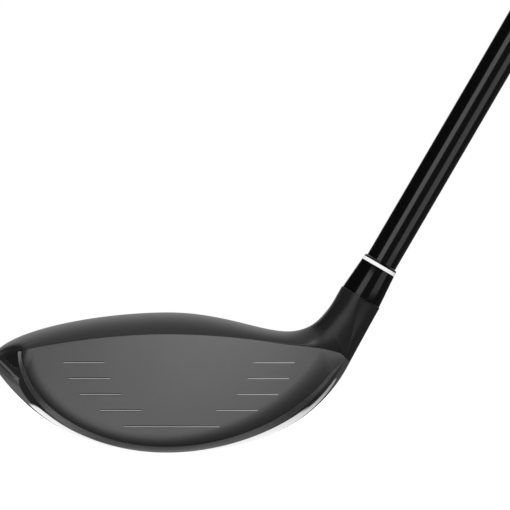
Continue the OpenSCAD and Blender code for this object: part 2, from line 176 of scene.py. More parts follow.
crown_line = [[toe_tip, toe_tip + vec(0, 0, 8.1), peak - vec(21, 0, 0.1), peak],
              [peak, peak + vec(22, 0, 0), neck_top + vec(-8.9, 2, -9.5), neck_top],
              neck_line(neck_top, (0.68, -0.15, 0.73), hosel_r, 0)]
tail_line = [[toe_tip, toe_tip + vec(0, 28, -2.5), tail - vec(25, 0, 0), tail],
             [tail, tail + vec(25, 0, 0), neck_back + vec(-4, 22, -8.5), neck_back],
             neck_line(neck_back, (0.35, -0.55, 0.75), 0, hosel_r)]
keel_line = [[toe_tip, toe_tip + vec(6.5, 0, -9.5), keel - vec(29, 0, 0), keel],
             [keel, keel + vec(26, 0, 0), neck_low + vec(-8.3, 3.5, -16.3), neck_low],
             neck_line(neck_low, (0.48, -0.05, 0.88), -hosel_r, 0)]
top_line = [[face_toe, face_toe + vec(1.7, 0, 0.4), brow - vec(18, 0, 0), brow],
            [brow, brow + vec(18, 0, 0), face_heel + vec(-12.9, 0, 3.5), face_heel],
            neck_line(face_heel, axis, 0, -hosel_r)]
lower_line = [[lead_toe, lead_toe + vec(0, 0, -15), lead - vec(23, 0, 0), lead],
              [lead, lead + vec(23, 0, 0), face_heel + vec(-4.9, 0, -14), face_heel]]
print("toe to neck", round(float(neck_top[0] - toe_tip[0]), 1), "mm, tail at y", tail[1], "mm")

# %% Points on the lines
low_depth, corner_height, corner_start = 3.2, 0.86, 1.57
edge_toe, edge_middle, edge_heel = 7.2, 5.0, 9.5


def along(line, s):
    k = min(int(s), len(line) - 1)
    return bezier(line[k], s - k)


def setback(s):
    return heel_setback * max(0, s - 1)


def corner_lift(s):
    turn = min(1, max(0, (s - 1.9) / 0.1))
    return corner_height * ramp(s, corner_start, 0.3) * (1 - turn ** 4) ** 0.5


def top_point(s):
    point = along(top_line, s)
    return on_face(point + vec(0, 0, corner_lift(s)), setback(s)) if s < 2 else point


def toe_ease(s):
    return ramp(s, 0, 0.4)


def low_point(s):
    if s >= 2:
        return top_point(s)
    toe_depth = low_depth * mix(0.6, 1, toe_ease(s))
    depth = toe_depth if s < 1 else mix(low_depth, heel_setback, (s - 1) ** 3)
    return on_face(along(lower_line, s), depth)


def edge_point(s):
    top, low = top_point(s), low_point(s)
    width = mix(edge_toe, edge_middle, smooth(s)) if s < 1 else mix(edge_middle, edge_heel, ramp(s, 1, 1))
    limit = mix(1, 0.8, min(1, s / 0.07)) if s < 1 else 1
    share = min(limit, width / max(np.linalg.norm(top - low), 0.001))
    return on_face(mix(low, top, share), setback(s))


print("face at the middle:", round(float(np.linalg.norm(top_point(1) - low_point(1))), 1), "mm high")

# %% The arcs of crown and skirt
ROUND, lean_share, swell_depth, swell_pull = 0.5523, 0.12, 1.6, 0.75


def roundness(s):
    return (1 - s) ** 2 if s < 1 else ramp(s, 1, 1)


def pull(body, s):
    return mix(body, ROUND, roundness(s))


def quarter(a, b, corner, pull_a, pull_b, t):
    return bezier([a, a + pull_a * (corner - a), b + pull_b * (corner - b), b], t)


def brow_arc(s, t):
    a, b = top_point(s), along(crown_line, s)
    swell = ramp(s, 1, 1) ** 16 if s < 2 else 1 - ramp(s, 2, 1)
    corner = vec(b[0], a[1] - swell_depth * swell, b[2])
    lean = vec(0, lean_share * (1 - roundness(s)) * (b[1] - a[1]), 0)
    return bezier([a, a + mix(ROUND, swell_pull, swell) * (corner - a) + lean,
                   b + mix(pull(0.6, s), swell_pull, swell) * (corner - b), b], t)


def crown_arc(s, t):
    a, b = along(crown_line, s), along(tail_line, s)
    return quarter(a, b, vec(a[0], b[1], a[2]), pull(0.45, s), pull(0.25, s), t)


def skirt_arc(s, t):
    a, b = along(tail_line, s), along(keel_line, s)
    return quarter(a, b, vec(b[0], a[1], b[2]), pull(0.35, s), pull(0.6, s), t)


print("crown half way back:", np.round(crown_arc(1, 0.5), 1), "mm")


# %% The arcs of keel and face
def keel_arc(s, t):
    a, b = along(keel_line, s), low_point(s)
    corner = vec(a[0], b[1], a[2])
    back = vec(0, lean_share * (a[1] - b[1]), 0)
    front = b + ROUND * mix(0.2, 1, toe_ease(s)) * (corner - b) + back
    return bezier([a, a + ROUND * (corner - a), front, b], t)


def bevel_arc(s, t):
    low = low_point(s)
    band, curve = mix(0.32, 0.24, ramp(s, 1, 1)), mix(0.25, 0.5, ramp(s, 1.3, 0.7))
    rim = mix(0.02, 0.11, ramp(s, 1.5, 0.3))
    shares = (0, rim, rim + 0.012, band - 0.03, band - 0.01, band + 0.01, band + 0.04,
              0.46, 0.6, 0.75, 0.9, 1)
    share = np.interp(t, np.linspace(0, 1, len(shares)), shares)
    row = on_face(mix(low, edge_point(s), share[:, None]), setback(s))
    deep = low[1] - on_face(low, setback(s))[1]
    flat, bend = mix(1, curve, share / band), curve * ((1 - share) / (1 - band)) ** 2
    row[:, 1] += deep * np.where(share < band, flat, bend)
    return row


def face_arc(s, t):
    t = np.asarray(t, float)[..., None]
    return on_face(mix(edge_point(s), top_point(s), t), setback(s))


print("middle of the face:", np.round(face_arc(1, 0.5), 1), "mm")

# %% [markdown]
# ## Sheets with a wall
# Crown, sole and face are sheets: an outer skin, an inner skin and a narrow edge that joins them.
# The wall grows towards a core deep in the head, and towards the shaft's axis near the neck, so
# neighbours meet along one edge. Where the crown turns into the neck, neighbouring arcs are
# averaged, which takes the crease out of that passage. Each sheet's edge is eased in by a few
# hundredths, which leaves the fine seam of a real joint. Solidify could make the wall, but it
# would not meet the neighbours so neatly.

# %% Rows of the crown
BEVEL, KEEL, CROWN, SKIRT, FACE = 11, 20, 44, 44, 30
BROW = BEVEL + KEEL
toe_reach, passage_reach, edge_share = 0.5, 0.6, 0.3


def steps(n):
    return np.linspace(0, 1, n + 1)


toe_seam = np.vstack([bevel_arc(0, 1 - steps(BEVEL)), keel_arc(0, 1 - steps(KEEL))[1:]])


def brow_row(s):
    t = steps(BROW)
    row = brow_arc(s, t)
    if s < toe_reach:
        return row + (1 - s / toe_reach) ** 2 * (toe_seam - brow_arc(0, t))
    ease = max(0, 1 - ((s - 2) / passage_reach) ** 2) ** 2
    if ease == 0:
        return row
    shifts = np.linspace(-1, 1, 11)
    weights = 1 - shifts ** 2
    near = [brow_arc(s + ease * x * (0.14 if x < 0 else 0.4), t) for x in shifts]
    soft = sum(w * arc for w, arc in zip(weights, near)) / sum(weights)
    inside = ramp(t, 0, edge_share) * ramp(1 - t, 0, edge_share)
    return mix(row, soft, inside[:, None])


def crown_row(s):
    return np.vstack([brow_row(s), crown_arc(s, steps(CROWN))[1:]])


print("points across the crown:", len(crown_row(1)))


# %% Rows of sole and face
def grounded(row):
    row = row.copy()
    row[:, 2] = np.maximum(row[:, 2], 0)
    return row


def sole_row(s):
    return grounded(np.vstack([skirt_arc(s, steps(SKIRT)), keel_arc(s, steps(KEEL))[1:]]))


def face_row(s):
    return np.vstack([grounded(bevel_arc(s, steps(BEVEL))), face_arc(s, steps(FACE))[1:]])


print("points across the sole:", len(sole_row(1)), "and the face:", len(face_row(1)))

# %% The inner side of a wall
core_low, core_high = vec(-30, 0, 16), vec(26, 34, 22)
crown_wall, sole_wall, face_wall, neck_wall = 0.8, 3.0, 2.2, 1.0
axis_start, axis_drop = 1.3, 6


def inwards(points, wall, s=1.0):
    goal = np.clip(points, core_low, core_high)
    if s > axis_start:
        foot = vec(shaft_foot, 0, 0)
        on_axis = foot + ((points - foot) @ axis - axis_drop)[..., None] * axis
        goal = mix(goal, on_axis, ramp(s, axis_start, 2 - axis_start))
    way = goal - points
    return points + wall * way / np.linalg.norm(way, axis=-1, keepdims=True)


def wall_at(wall, s):
    return mix(wall, neck_wall, ramp(s, 1, 1))


print("sole wall from toe to neck:", [round(float(wall_at(sole_wall, s)), 2) for s in (0, 1, 1.5, 2)])

# %% A closed sheet from rows
stations = np.concatenate([steps(70), 1 + steps(76)[1:-4], np.linspace(1.95, 2, 16)])
seam = 0.05


def sheet_faces(rows, cols):
    far, faces = rows * cols, []
    for i in range(rows - 1):
        for j in range(cols - 1):
            a = i * cols + j
            faces.append((a, a + 1, a + cols + 1, a + cols))
            faces.append((far + a + cols, far + a + cols + 1, far + a + 1, far + a))
    rim = [*range(cols), *(i * cols + cols - 1 for i in range(1, rows))]
    rim += [(rows - 1) * cols + j for j in range(cols - 2, -1, -1)]
    rim += [i * cols for i in range(rows - 2, 0, -1)]
    for a, b in zip(rim, rim[1:] + rim[:1]):
        faces.append((b, a, far + a, far + b))
    return faces


def put_sheet(name, row_of, wall):
    rows = [row_of(s) for s in stations]
    outer = np.array(rows)
    inner = np.array([inwards(r, wall_at(wall, s), s) for r, s in zip(rows, stations)])
    for j in (0, -1):
        outer[:, j] = inwards(outer[:, j], seam)
    if np.ptp(rows[-1], axis=0).max() < TINY:
        outer[-1] = outer[-1, 0]
    count, cols = outer.shape[:2]
    points = np.vstack([outer.reshape(-1, 3), inner.reshape(-1, 3)])
    return put_mesh(name, points, sheet_faces(count, cols))


crown_skin = put_sheet("crown_skin", crown_row, crown_wall)
sole_skin = put_sheet("sole_skin", sole_row, sole_wall)
face_plate = put_sheet("face_plate", face_row, face_wall)

# %% [markdown]
# ## The neck
# The hosel is the socket for the shaft. Outside it flows from the ring where crown, sole and face
# end to a round rim. Inside it is a bored tube that reaches down into the head. It could be two
# tubes joined by a Boolean, but one closed skin laid over all of it has no seam to clean: up the
# outside, over a small rounded rim, down the bore and back up the tube.

# %% The neck's rings
bore_r, tube_r, tube_start, neck_floor = 4.35, 5.2, 24.8, 38.0
rim_r, mouth = 0.16, 0.1


def neck_ring(s):
    return np.vstack([crown_row(s)[:-1], sole_row(s)[:-1]])


def round_ring(turns, height, r):
    return np.array([at_shaft(height, r * cos(a), r * sin(a)) for a in turns])


rim_ring = neck_ring(3.0) - vec(shaft_foot, 0, 0)
turns = np.arctan2(rim_ring[:, 1], rim_ring @ across)
rings = [neck_ring(s) for s in 2 + steps(40)[:-1]]
rings += [round_ring(turns, hosel_top - rim_r * (1 - sin(a)), hosel_r - rim_r * (1 - cos(a)))
          for a in np.linspace(0, pi / 2, 5)]
rings += [round_ring(turns, hosel_top, bore_r + mouth), round_ring(turns, hosel_top - mouth, bore_r)]
rings += [round_ring(turns, h, bore_r) for h in np.linspace(hosel_top - 4, tube_start, 5)]
rings += [round_ring(turns, tube_start, tube_r), round_ring(turns, neck_floor, tube_r)]
rings.append(inwards(neck_ring(2.0), neck_wall, 2.0))
size = len(turns)
faces = [(i * size + j, i * size + (j + 1) % size, (i + 1) % len(rings) * size + (j + 1) % size,
          (i + 1) % len(rings) * size + j) for i in range(len(rings)) for j in range(size)]
neck_skin = put_mesh("neck_skin", np.vstack(rings), faces)

# %% [markdown]
# ## Turned pieces
# Ferrule, shaft, grip, cap, port, washer and screw are round, so each is a profile turned about an
# axis, as on a lathe. A real turned edge is never a knife edge, so every corner of a profile gets
# a small radius first. The Screw modifier could do this too; a few lines of code give exact rims.

# %% Helpers: round the corners, turn the profile
shaft_frame = Matrix.Translation((shaft_foot, 0, 0)) @ Matrix.Rotation(pi / 2 - lie, 4, "Y")
corner_share, corner_steps, sides = 0.45, 4, 128


def rounded(profile, radius):
    soft = []
    for k, corner in enumerate(profile):
        corner, before, after = vec(*corner), vec(*profile[k - 1]), vec(*profile[(k + 1) % len(profile)])
        to_before, to_after = before - corner, after - corner
        r = min(radius, *(corner_share * np.linalg.norm(way) for way in (to_before, to_after)))
        if corner[0] < TINY or r < 1e-4:
            soft.append(corner)
            continue
        a, b = corner + r * unit(to_before), corner + r * unit(to_after)
        for t in steps(corner_steps):
            soft.append((1 - t) ** 2 * a + 2 * t * (1 - t) * corner + t * t * b)
    return soft


def placed(points, place):
    matrix = np.array(place)
    return points @ matrix[:3, :3].T + matrix[:3, 3]


def put_turned(name, place, profile, radius=0):
    profile = rounded(profile, radius) if radius else profile
    ring = [(cos(a), sin(a)) for a in np.linspace(0, 2 * pi, sides, endpoint=False)]
    points = np.array([(r * c, r * s, h) for r, h in profile for c, s in ring])
    count = len(profile)
    faces = [(i * sides + j, (i + 1) % count * sides + j, (i + 1) % count * sides + (j + 1) % sides,
              i * sides + (j + 1) % sides) for i in range(count) for j in range(sides)
             if max(profile[i][0], profile[(i + 1) % count][0]) > TINY]
    return put_mesh(name, placed(points, place), faces)


print("shaft leans", round(90 - np.degrees(lie), 1), "degrees from upright")

# %% Ferrule: sleeve, white ring and lip
ferrule_bore, sleeve_foot_r, sleeve_top_r, lip_r, lip_end_r = 4.4, 5.775, 5.05, 4.975, 4.625
sleeve_top = hosel_top + 9.4
ring_top, lip_top = sleeve_top + 1, sleeve_top + 1.7
ferrule_sleeve = put_turned("ferrule_sleeve_turned", shaft_frame, [
    (ferrule_bore, hosel_top), (sleeve_foot_r, hosel_top), (sleeve_top_r, sleeve_top),
    (ferrule_bore, sleeve_top)], radius=0.12)
ferrule_ring = put_turned("ferrule_ring_turned", shaft_frame, [
    (ferrule_bore, sleeve_top), (sleeve_top_r, sleeve_top), (sleeve_top_r, ring_top),
    (ferrule_bore, ring_top)], radius=0.06)
ferrule_lip = put_turned("ferrule_lip_turned", shaft_frame, [
    (ferrule_bore, ring_top), (lip_r, ring_top), (lip_r, ring_top + 0.35), (lip_end_r, lip_top),
    (ferrule_bore, lip_top)], radius=0.15)

# %% Shaft
butt_end, taper_start, tip_end = 1087.0, 119.3, 27.3
tip_r, butt_r, bonded_r, tip_bore, butt_bore, tip_chamfer = 4.4, 7.6, 4.25, 2.75, 6.7, 0.1


def shaft_r(h):
    return mix(tip_r, butt_r, max(0, h - taper_start) / (butt_end - taper_start))


tip = [(tip_bore, tip_end), (bonded_r - tip_chamfer, tip_end), (bonded_r, tip_end + tip_chamfer),
       (bonded_r, hosel_top)]
outside = [(shaft_r(h), h) for h in (hosel_top, 80, taper_start, *np.linspace(200, butt_end, 12))]
bore = [(butt_bore, butt_end), (tip_bore, taper_start)]
shaft_tube = put_turned("shaft_tube", shaft_frame, [*tip, *outside, *bore])

# %% Grip sleeve
grip_mouth, tape_wall, pad_height, step_height = 825.0, 0.15, 0.25, 0.4
collar, shoulder = grip_mouth + 7, butt_end - 9
pads_low, pads_high = collar + 2, shoulder - 2


def grip_r(h):
    f = (h - grip_mouth) / (butt_end - grip_mouth)
    return shaft_r(h) + tape_wall + mix(1.5, 5.6, f)


grip_outside = [(grip_r(grip_mouth), grip_mouth), (grip_r(collar), collar),
                (grip_r(collar) - pad_height, collar + step_height)]
grip_outside += [(grip_r(h) - pad_height, h) for h in np.linspace(pads_low, pads_high, 20)]
grip_outside += [(grip_r(shoulder) - pad_height, shoulder - step_height), (grip_r(shoulder), shoulder),
                 (grip_r(butt_end), butt_end)]
grip_rubber = put_turned("grip_rubber_sleeve", shaft_frame, [
    (shaft_r(grip_mouth) + tape_wall, grip_mouth), *grip_outside, (butt_r + tape_wall, butt_end)],
    radius=0.5)

# %% Grip cap
cap_r, cap_round, cap_top, vent_r = 14.8, 1.6, butt_end + 5, 1.6
groove, dimple = cap_top - 0.4, cap_top - 0.5
cap_profile = [(vent_r, butt_end), (cap_r - cap_round, butt_end), (cap_r, butt_end + 1.7),
               (cap_r, cap_top - 1.7), (cap_r - cap_round, cap_top), (11.2, cap_top), (10.9, groove),
               (10.2, groove), (9.9, cap_top), (3.6, cap_top), (3.2, dimple), (vent_r, dimple)]
grip_cap = put_turned("grip_cap_moulded", shaft_frame, cap_profile, radius=0.9)

# %% [markdown]
# ## The sole weight
# A steel screw sits in a port in the sole, and a nylon washer rides under its head. The screw turns
# and the washer comes out with it, so each is its own piece on its own body. The hexagon socket
# could be modelled face by face, but a Boolean cuts six flat walls into a round head in one step.

# %% Helpers: make a modifier's result real, cut one piece with another
def make_real(piece):
    shown = piece.evaluated_get(bpy.context.evaluated_depsgraph_get())
    mesh = bpy.data.meshes.new_from_object(shown)
    piece.modifiers.clear()
    piece.data = mesh
    return mesh


def cut(piece, tool):
    change = piece.modifiers.new("cut", "BOOLEAN")
    change.operation, change.solver, change.object = "DIFFERENCE", "EXACT", tool
    mesh = make_real(piece)
    open_edges = clean(mesh, crisp=30)
    bpy.data.objects.remove(tool)
    print(f"{piece.name}: cut, {len(mesh.polygons)} faces, {open_edges} open edges")


# %% Place of the weight on the sole
weight_y, nudge = 37.3, 0.01
low, high = 0.0, 1.0
for _ in range(40):
    half = (low + high) / 2
    low, high = (half, high) if skirt_arc(1, half)[1] > weight_y else (low, half)
weight_seat = skirt_arc(1, half)
slope = skirt_arc(1, half - nudge) - skirt_arc(1, half + nudge)
tilt = Matrix.Rotation(atan2(slope[2], slope[1]), 4, "X")
weight_frame = Matrix.Translation(weight_seat.tolist()) @ tilt
print("weight seat", np.round(weight_seat, 3))

# %% Port and washer
port_r, pocket_r, hole_r, weight_r = 7.6, 6.4, 3.0, 6.3
sunk, pocket_floor, hole_floor, port_end, drill_reach = 0.2, 4.2, 9.7, 10.9, 12
washer_low, washer_high = 3.3, 4.1
cut(sole_skin, put_turned("port_drill", weight_frame, [
    (0, -drill_reach), (port_r, -drill_reach), (port_r, drill_reach), (0, drill_reach)]))
weight_port = put_turned("weight_port_turned", weight_frame, [
    (0, hole_floor), (hole_r, hole_floor), (hole_r, pocket_floor), (pocket_r, pocket_floor),
    (pocket_r, sunk), (port_r, sunk), (port_r, port_end), (0, port_end)], radius=0.3)
weight_washer = put_turned("weight_washer_turned", weight_frame, [
    (hole_r, washer_low), (weight_r, washer_low), (weight_r, washer_high), (hole_r, washer_high)],
    radius=0.2)

# %% Screw and its hexagon socket
head_end, neck_r, root_r, stem_end, ring_floor = 3.2, 2.95, 2.5, 9.2, 0.35
weight_screw = put_turned("weight_screw_turned", weight_frame, [
    (0, sunk), (3.9, sunk), (4.1, ring_floor), (4.5, ring_floor), (4.7, sunk), (weight_r, sunk),
    (weight_r, head_end), (neck_r, head_end), (neck_r, 3.9), (root_r, 4.3), (root_r, stem_end),
    (0, stem_end)], radius=0.35)
socket_r, socket_wall, socket_tip = 2.2, 2.4, 2.9
hexagon = [(socket_r * cos(a), socket_r * sin(a)) for a in np.linspace(0, 2 * pi, 6, endpoint=False)]
layers = ((-1, 1), (socket_wall, 1), (socket_tip, 0.001))
broach = np.array([(x * k, y * k, h) for h, k in layers for x, y in hexagon])
flats = [(i * 6 + j, i * 6 + (j + 1) % 6, (i + 1) * 6 + (j + 1) % 6, (i + 1) * 6 + j)
         for i in range(2) for j in range(6)]
ends = [tuple(range(6)), tuple(range(12, 18))]
cut(weight_screw, put_mesh("socket_broach", placed(broach, weight_frame), flats + ends))

# %% [markdown]
# ## What repeats: Geometry Nodes
# Score lines, grip pads and the screw's thread repeat one small shape or follow a path, so each is
# a node tree with named inputs. Array modifiers or loops could place them too, but a tree keeps its
# sizes in view and can be run again. It ends in Realize Instances and Set Material, and its result
# becomes a plain mesh.

# %% Helpers: build a tree
def new_tree(name, inputs):
    tree = bpy.data.node_groups.new(name, "GeometryNodeTree")
    tree.interface.new_socket("Geometry", in_out="INPUT", socket_type="NodeSocketGeometry")
    for label, kind, value in inputs:
        socket = tree.interface.new_socket(label, in_out="INPUT", socket_type="NodeSocket" + kind)
        socket.default_value = value
    tree.interface.new_socket("Material", in_out="INPUT", socket_type="NodeSocketMaterial")
    tree.interface.new_socket("Geometry", in_out="OUTPUT", socket_type="NodeSocketGeometry")
    return tree, tree.nodes.new("NodeGroupInput"), tree.nodes.new("NodeGroupOutput")


def wire(tree, kind, links=None, **settings):
    node = tree.nodes.new(kind)
    for key, value in settings.items():
        setattr(node, key, value)
    for key, value in (links or {}).items():
        value = value.outputs[0] if isinstance(value, bpy.types.Node) else value
        if isinstance(value, bpy.types.NodeSocket):
            tree.links.new(value, node.inputs[key])
        else:
            node.inputs[key].default_value = value
    return node


def maths(tree, operation, a, b=0.0, c=0.0):
    return wire(tree, "ShaderNodeMath", {0: a, 1: b, 2: c}, operation=operation).outputs[0]


def xyz(tree, x=0.0, y=0.0, z=0.0):
    return wire(tree, "ShaderNodeCombineXYZ", {0: x, 1: y, 2: z}).outputs[0]


def apart(tree, vector):
    return wire(tree, "ShaderNodeSeparateXYZ", {0: vector}).outputs


def position(tree):
    return wire(tree, "GeometryNodeInputPosition").outputs[0]


# %% Helpers: end a tree, run a tree
def end_tree(tree, given, result, geometry):
    real = wire(tree, "GeometryNodeRealizeInstances", {0: geometry})
    dressed = wire(tree, "GeometryNodeSetMaterial", {
        0: real, "Material": given.outputs["Material"]})
    tree.links.new(dressed.outputs[0], result.inputs[0])
    print(f"{tree.name}: a tree of {len(tree.nodes)} nodes")


def run_tree(name, tree, base, **values):
    piece = put_object(name, base)
    change = piece.modifiers.new(tree.name, "NODES")
    change.node_group = tree
    sockets = {s.name: s.identifier for s in tree.interface.items_tree if s.in_out == "INPUT"}
    for label, value in values.items():
        change[sockets[label.replace("_", " ")]] = value
    mesh = make_real(piece)
    print(f"{name}: {len(mesh.polygons)} faces from {tree.name}")
    return piece


def in_metres(place, height):
    return Matrix.Scale(MM, 4) @ place @ Matrix.Translation((0, 0, height)) @ Matrix.Scale(1 / MM, 4)


# %% [markdown]
# ## Score lines
# Nine shallow grooves are milled in the face and filled with light paint: four rows of two, and a
# long one at the bottom. A tree puts one bar on each of nine points, stretches it to that line's
# length, flares its mouth into a small chamfer and bends it onto the bulge of the face. A bump
# could draw them, but a cut groove holds in a close view. The same tree makes the cutters and then
# the paint, so the paint always fits.

# %% The score-line tree: one bar
tree, given, result = new_tree("score_lines", [
    ("Width", "Float", 0.00055), ("Proud", "Float", 0.0), ("Depth", "Float", 0.0003),
    ("Chamfer", "Float", 0.0001), ("Steps", "Int", 5)])
sizes = given.outputs
thick = maths(tree, "ADD", sizes["Proud"], sizes["Depth"])
bar = wire(tree, "GeometryNodeMeshCube", {
    "Size": xyz(tree, 1.0, thick, sizes["Width"]), "Vertices X": 61, "Vertices Y": sizes["Steps"],
    "Vertices Z": 2})
sink = maths(tree, "MULTIPLY", maths(tree, "SUBTRACT", sizes["Depth"], sizes["Proud"]), 0.5)
moved = wire(tree, "ShaderNodeVectorMath", {0: position(tree), 1: xyz(tree, 0.0, sink)}, operation="ADD")
x, y, z = apart(tree, moved)
open_mouth = maths(tree, "MAXIMUM", maths(tree, "SUBTRACT", sizes["Chamfer"], y), 0.0)
half_width = maths(tree, "MULTIPLY", sizes["Width"], 0.5)
flare = maths(tree, "ADD", maths(tree, "DIVIDE", open_mouth, half_width), 1.0)
flared = xyz(tree, x, y, maths(tree, "MULTIPLY", z, flare))
bar = wire(tree, "GeometryNodeSetPosition", {0: bar, "Position": flared})
print("bar inputs:", [s.name for s in sizes if s.name])

# %% The score-line tree: nine bars on the face
length = wire(tree, "GeometryNodeInputNamedAttribute", {"Name": "length"}, data_type="FLOAT").outputs[0]
bars = wire(tree, "GeometryNodeInstanceOnPoints", {
    "Points": sizes["Geometry"], "Instance": bar, "Scale": xyz(tree, length, 1.0, 1.0)})
bars = wire(tree, "GeometryNodeRealizeInstances", {0: bars})
x, _, z = apart(tree, position(tree))
bulge = maths(tree, "MULTIPLY", maths(tree, "MULTIPLY", x, x), 1 / (2 * bulge_radius * MM))
roll = maths(tree, "MULTIPLY", z, maths(tree, "SUBTRACT", z, face_height * MM))
roll = maths(tree, "MULTIPLY", roll, 1 / (2 * roll_radius * MM))
rise = maths(tree, "MULTIPLY_ADD", z, tan(loft), -face_progression * MM)
back = maths(tree, "ADD", rise, maths(tree, "ADD", bulge, roll))
bars = wire(tree, "GeometryNodeSetPosition", {0: bars, "Offset": xyz(tree, 0.0, back)})
end_tree(tree, given, result, bars)
score_tree = tree

# %% Cut the grooves and fill them
row_top, row_pitch, row_middle, row_gaps = 24.6, 4.34, 3.4, (26.05, 24.45, 21.5, 15.9)
short_line, long_line, line_width, line_depth = 11.3, (1.3, 7.15, 26.3), 0.00025, 0.0003
middles = [(row_middle + side * gap, row_top - row_pitch * row, short_line)
           for row, gap in enumerate(row_gaps) for side in (-1, 1)] + [long_line]
line_places = new_mesh("line_places", [(x * MM, 0, z * MM) for x, z, _ in middles])
lengths = line_places.attributes.new("length", "FLOAT", "POINT")
lengths.data.foreach_set("value", [n * MM for *_, n in middles])
score_cutters = run_tree("score_cutters", score_tree, line_places.copy(), Width=line_width,
                         Proud=0.0001, Depth=line_depth, Chamfer=0.0002, Steps=9)
cut(face_plate, score_cutters)
score_paint = run_tree("score_paint", score_tree, line_places, Width=line_width,
                       Proud=-0.00015, Depth=line_depth, Chamfer=0.0, Steps=3)

# %% [markdown]
# ## The milled band, with a painted highlight
# A cutter leaves a flat band round the lower edge of the face, lighter than the satin steel beside
# it. The band also carries a painted highlight: its level falls from toe to heel to stand in for the
# light stripe that the bevel mirrors. Its points are known from the arcs, so they are looked up on
# the finished plate and marked in an attribute, which the face's material reads later. A painted
# mask would need a UV map first. The mark comes after the cut, because a Boolean fills an older
# attribute with stray values.

# %% Mark the band and its painted highlight
# The marks are painted highlight as well as milled finish: toe, front and heel levels follow the bevel's
# reflected light stripe.
toe_highlight, front_highlight, heel_highlight, band_points = 1, 0.75, 0.3, slice(2, 5)
places = KDTree(len(face_plate.data.vertices))
for corner in face_plate.data.vertices:
    places.insert(corner.co, corner.index)
places.balance()
band_highlight_mark = face_plate.data.attributes.new("band", "FLOAT", "POINT")
for s in stations:
    highlight_level = mix(mix(toe_highlight, front_highlight, ramp(s, 0.4, 0.4)), heel_highlight, ramp(s, 1.2, 0.6))
    for point in grounded(bevel_arc(s, steps(BEVEL)))[band_points]:
        _, index, _ = places.find(point * MM)
        band_highlight_mark.data[index].value = highlight_level
print("band points:", sum(m.value > 0 for m in band_highlight_mark.data))

# %% [markdown]
# ## Grip pads
# A rubber grip is moulded with rows of small raised pads that the fingers hold. The tree lays pads
# on a flat grid, every second row shifted by half a step, and then wraps the sheet round the taper
# of the sleeve. A bump map would be lighter, but its outline stays smooth and a real grip's does
# not. The sleeve was turned a quarter of a millimetre small, so the pads reach its size.

# %% The grip tree: pads on a flat sheet
tree, given, result = new_tree("grip_pads", [
    ("Around", "Int", 26), ("Rows", "Int", 72), ("Length", "Float", 0.24), ("Height", "Float", 0.00025),
    ("Low Radius", "Float", 0.008), ("High Radius", "Float", 0.013), ("Fill", "Float", 0.7)])
sizes = given.outputs
around = maths(tree, "DIVIDE", 2 * pi, sizes["Around"])
pitch = maths(tree, "DIVIDE", sizes["Length"], sizes["Rows"])
count = maths(tree, "MULTIPLY", sizes["Around"], sizes["Rows"])
points = wire(tree, "GeometryNodePoints", {"Count": count})
index = wire(tree, "GeometryNodeInputIndex").outputs[0]
row = maths(tree, "FLOOR", maths(tree, "DIVIDE", maths(tree, "ADD", index, 0.5), sizes["Around"]))
column = maths(tree, "SUBTRACT", index, maths(tree, "MULTIPLY", row, sizes["Around"]))
shifted = maths(tree, "ADD", column, maths(tree, "MULTIPLY", maths(tree, "MODULO", row, 2.0), 0.5))
turn = maths(tree, "MULTIPLY", shifted, around)
rise = maths(tree, "MULTIPLY", maths(tree, "ADD", row, 0.5), pitch)
points = wire(tree, "GeometryNodeSetPosition", {0: points, "Position": xyz(tree, turn, rise)})
pad = wire(tree, "GeometryNodeMeshCone", {
    "Vertices": 8, "Radius Top": 0.36, "Radius Bottom": 0.5, "Depth": 1.0})
pad_width = maths(tree, "MULTIPLY", around, sizes["Fill"])
pad_length = maths(tree, "MULTIPLY", pitch, maths(tree, "MULTIPLY", sizes["Fill"], 1.5))
pads = wire(tree, "GeometryNodeInstanceOnPoints", {
    "Points": points, "Instance": pad,
    "Scale": xyz(tree, pad_width, pad_length, sizes["Height"])})
pads = wire(tree, "GeometryNodeRealizeInstances", {0: pads})
print("pad inputs:", [s.name for s in sizes if s.name])

# %% The grip tree: wrap the sheet
angle, height, lift = apart(tree, position(tree))
share = maths(tree, "DIVIDE", height, sizes["Length"])
grow = maths(tree, "SUBTRACT", sizes["High Radius"], sizes["Low Radius"])
radius = maths(tree, "ADD", maths(tree, "MULTIPLY_ADD", share, grow, sizes["Low Radius"]), lift)
wrapped = xyz(tree, maths(tree, "MULTIPLY", radius, maths(tree, "COSINE", angle)),
              maths(tree, "MULTIPLY", radius, maths(tree, "SINE", angle)), height)
pads = wire(tree, "GeometryNodeSetPosition", {0: pads, "Position": wrapped})
end_tree(tree, given, result, pads)

# %% Run it on the sleeve
grip_pads = run_tree("grip_pads", tree, new_mesh("no_points"), Around=28, Rows=64,
                     Length=(pads_high - pads_low) * MM, Height=pad_height * MM,
                     Low_Radius=(grip_r(pads_low) - pad_height) * MM,
                     High_Radius=(grip_r(pads_high) - pad_height) * MM)
grip_pads.data.transform(in_metres(shaft_frame, pads_low))

# %% [markdown]
# ## The screw's thread
# The thread is one ridge that climbs the stem a millimetre a turn: a triangle swept along a helix.
# The Screw modifier can sweep one too, but here turns, pitch and radius are inputs by name.

